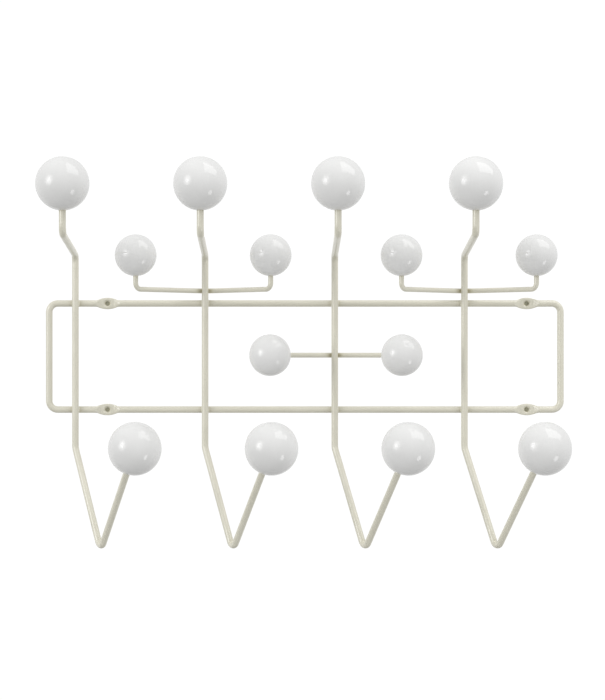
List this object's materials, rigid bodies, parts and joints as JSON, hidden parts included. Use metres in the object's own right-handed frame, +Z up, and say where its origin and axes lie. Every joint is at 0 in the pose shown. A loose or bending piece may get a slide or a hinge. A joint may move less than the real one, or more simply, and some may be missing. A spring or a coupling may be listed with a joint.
{
  "type": "wall coat rack",
  "caption": "Wall coat rack of welded bent wire with a rectangular frame, double hooks, short thin pegs and a round ball on every wire end.",
  "frame": {"origin": "centre of the four wall-screw holes, on the wall plane", "axes": "+Z up, +X along the rails to the right of a person facing the rack, +Y into the wall, -Y towards that person"},
  "size_m": [0.5086, 0.162, 0.3691],
  "materials": {
    "wire_coat": "warm off-white powder coat, satin",
    "ball_lacquer": "white lacquer, high gloss"
  },
  "bodies": {
    "root": {"crossbar_ball_left": "ball_lacquer", "crossbar_ball_right": "ball_lacquer", "crossbar_weld_bead": "wire_coat", "crossbar_wire": "wire_coat", "frame_loop": "wire_coat", "hook_wire_1": "wire_coat", "hook_wire_2": "wire_coat", "hook_wire_3": "wire_coat", "hook_wire_4": "wire_coat", "lower_ball_1": "ball_lacquer", "lower_ball_2": "ball_lacquer", "lower_ball_3": "ball_lacquer", "lower_ball_4": "ball_lacquer", "peg_ball_1_left": "ball_lacquer", "peg_ball_1_right": "ball_lacquer", "peg_ball_2_left": "ball_lacquer", "peg_ball_2_right": "ball_lacquer", "peg_weld_beads": "wire_coat", "peg_wire_1": "wire_coat", "peg_wire_2": "wire_coat", "rail_weld_beads": "wire_coat", "top_ball_1": "ball_lacquer", "top_ball_2": "ball_lacquer", "top_ball_3": "ball_lacquer", "top_ball_4": "ball_lacquer"}
  },
  "joints": []
}
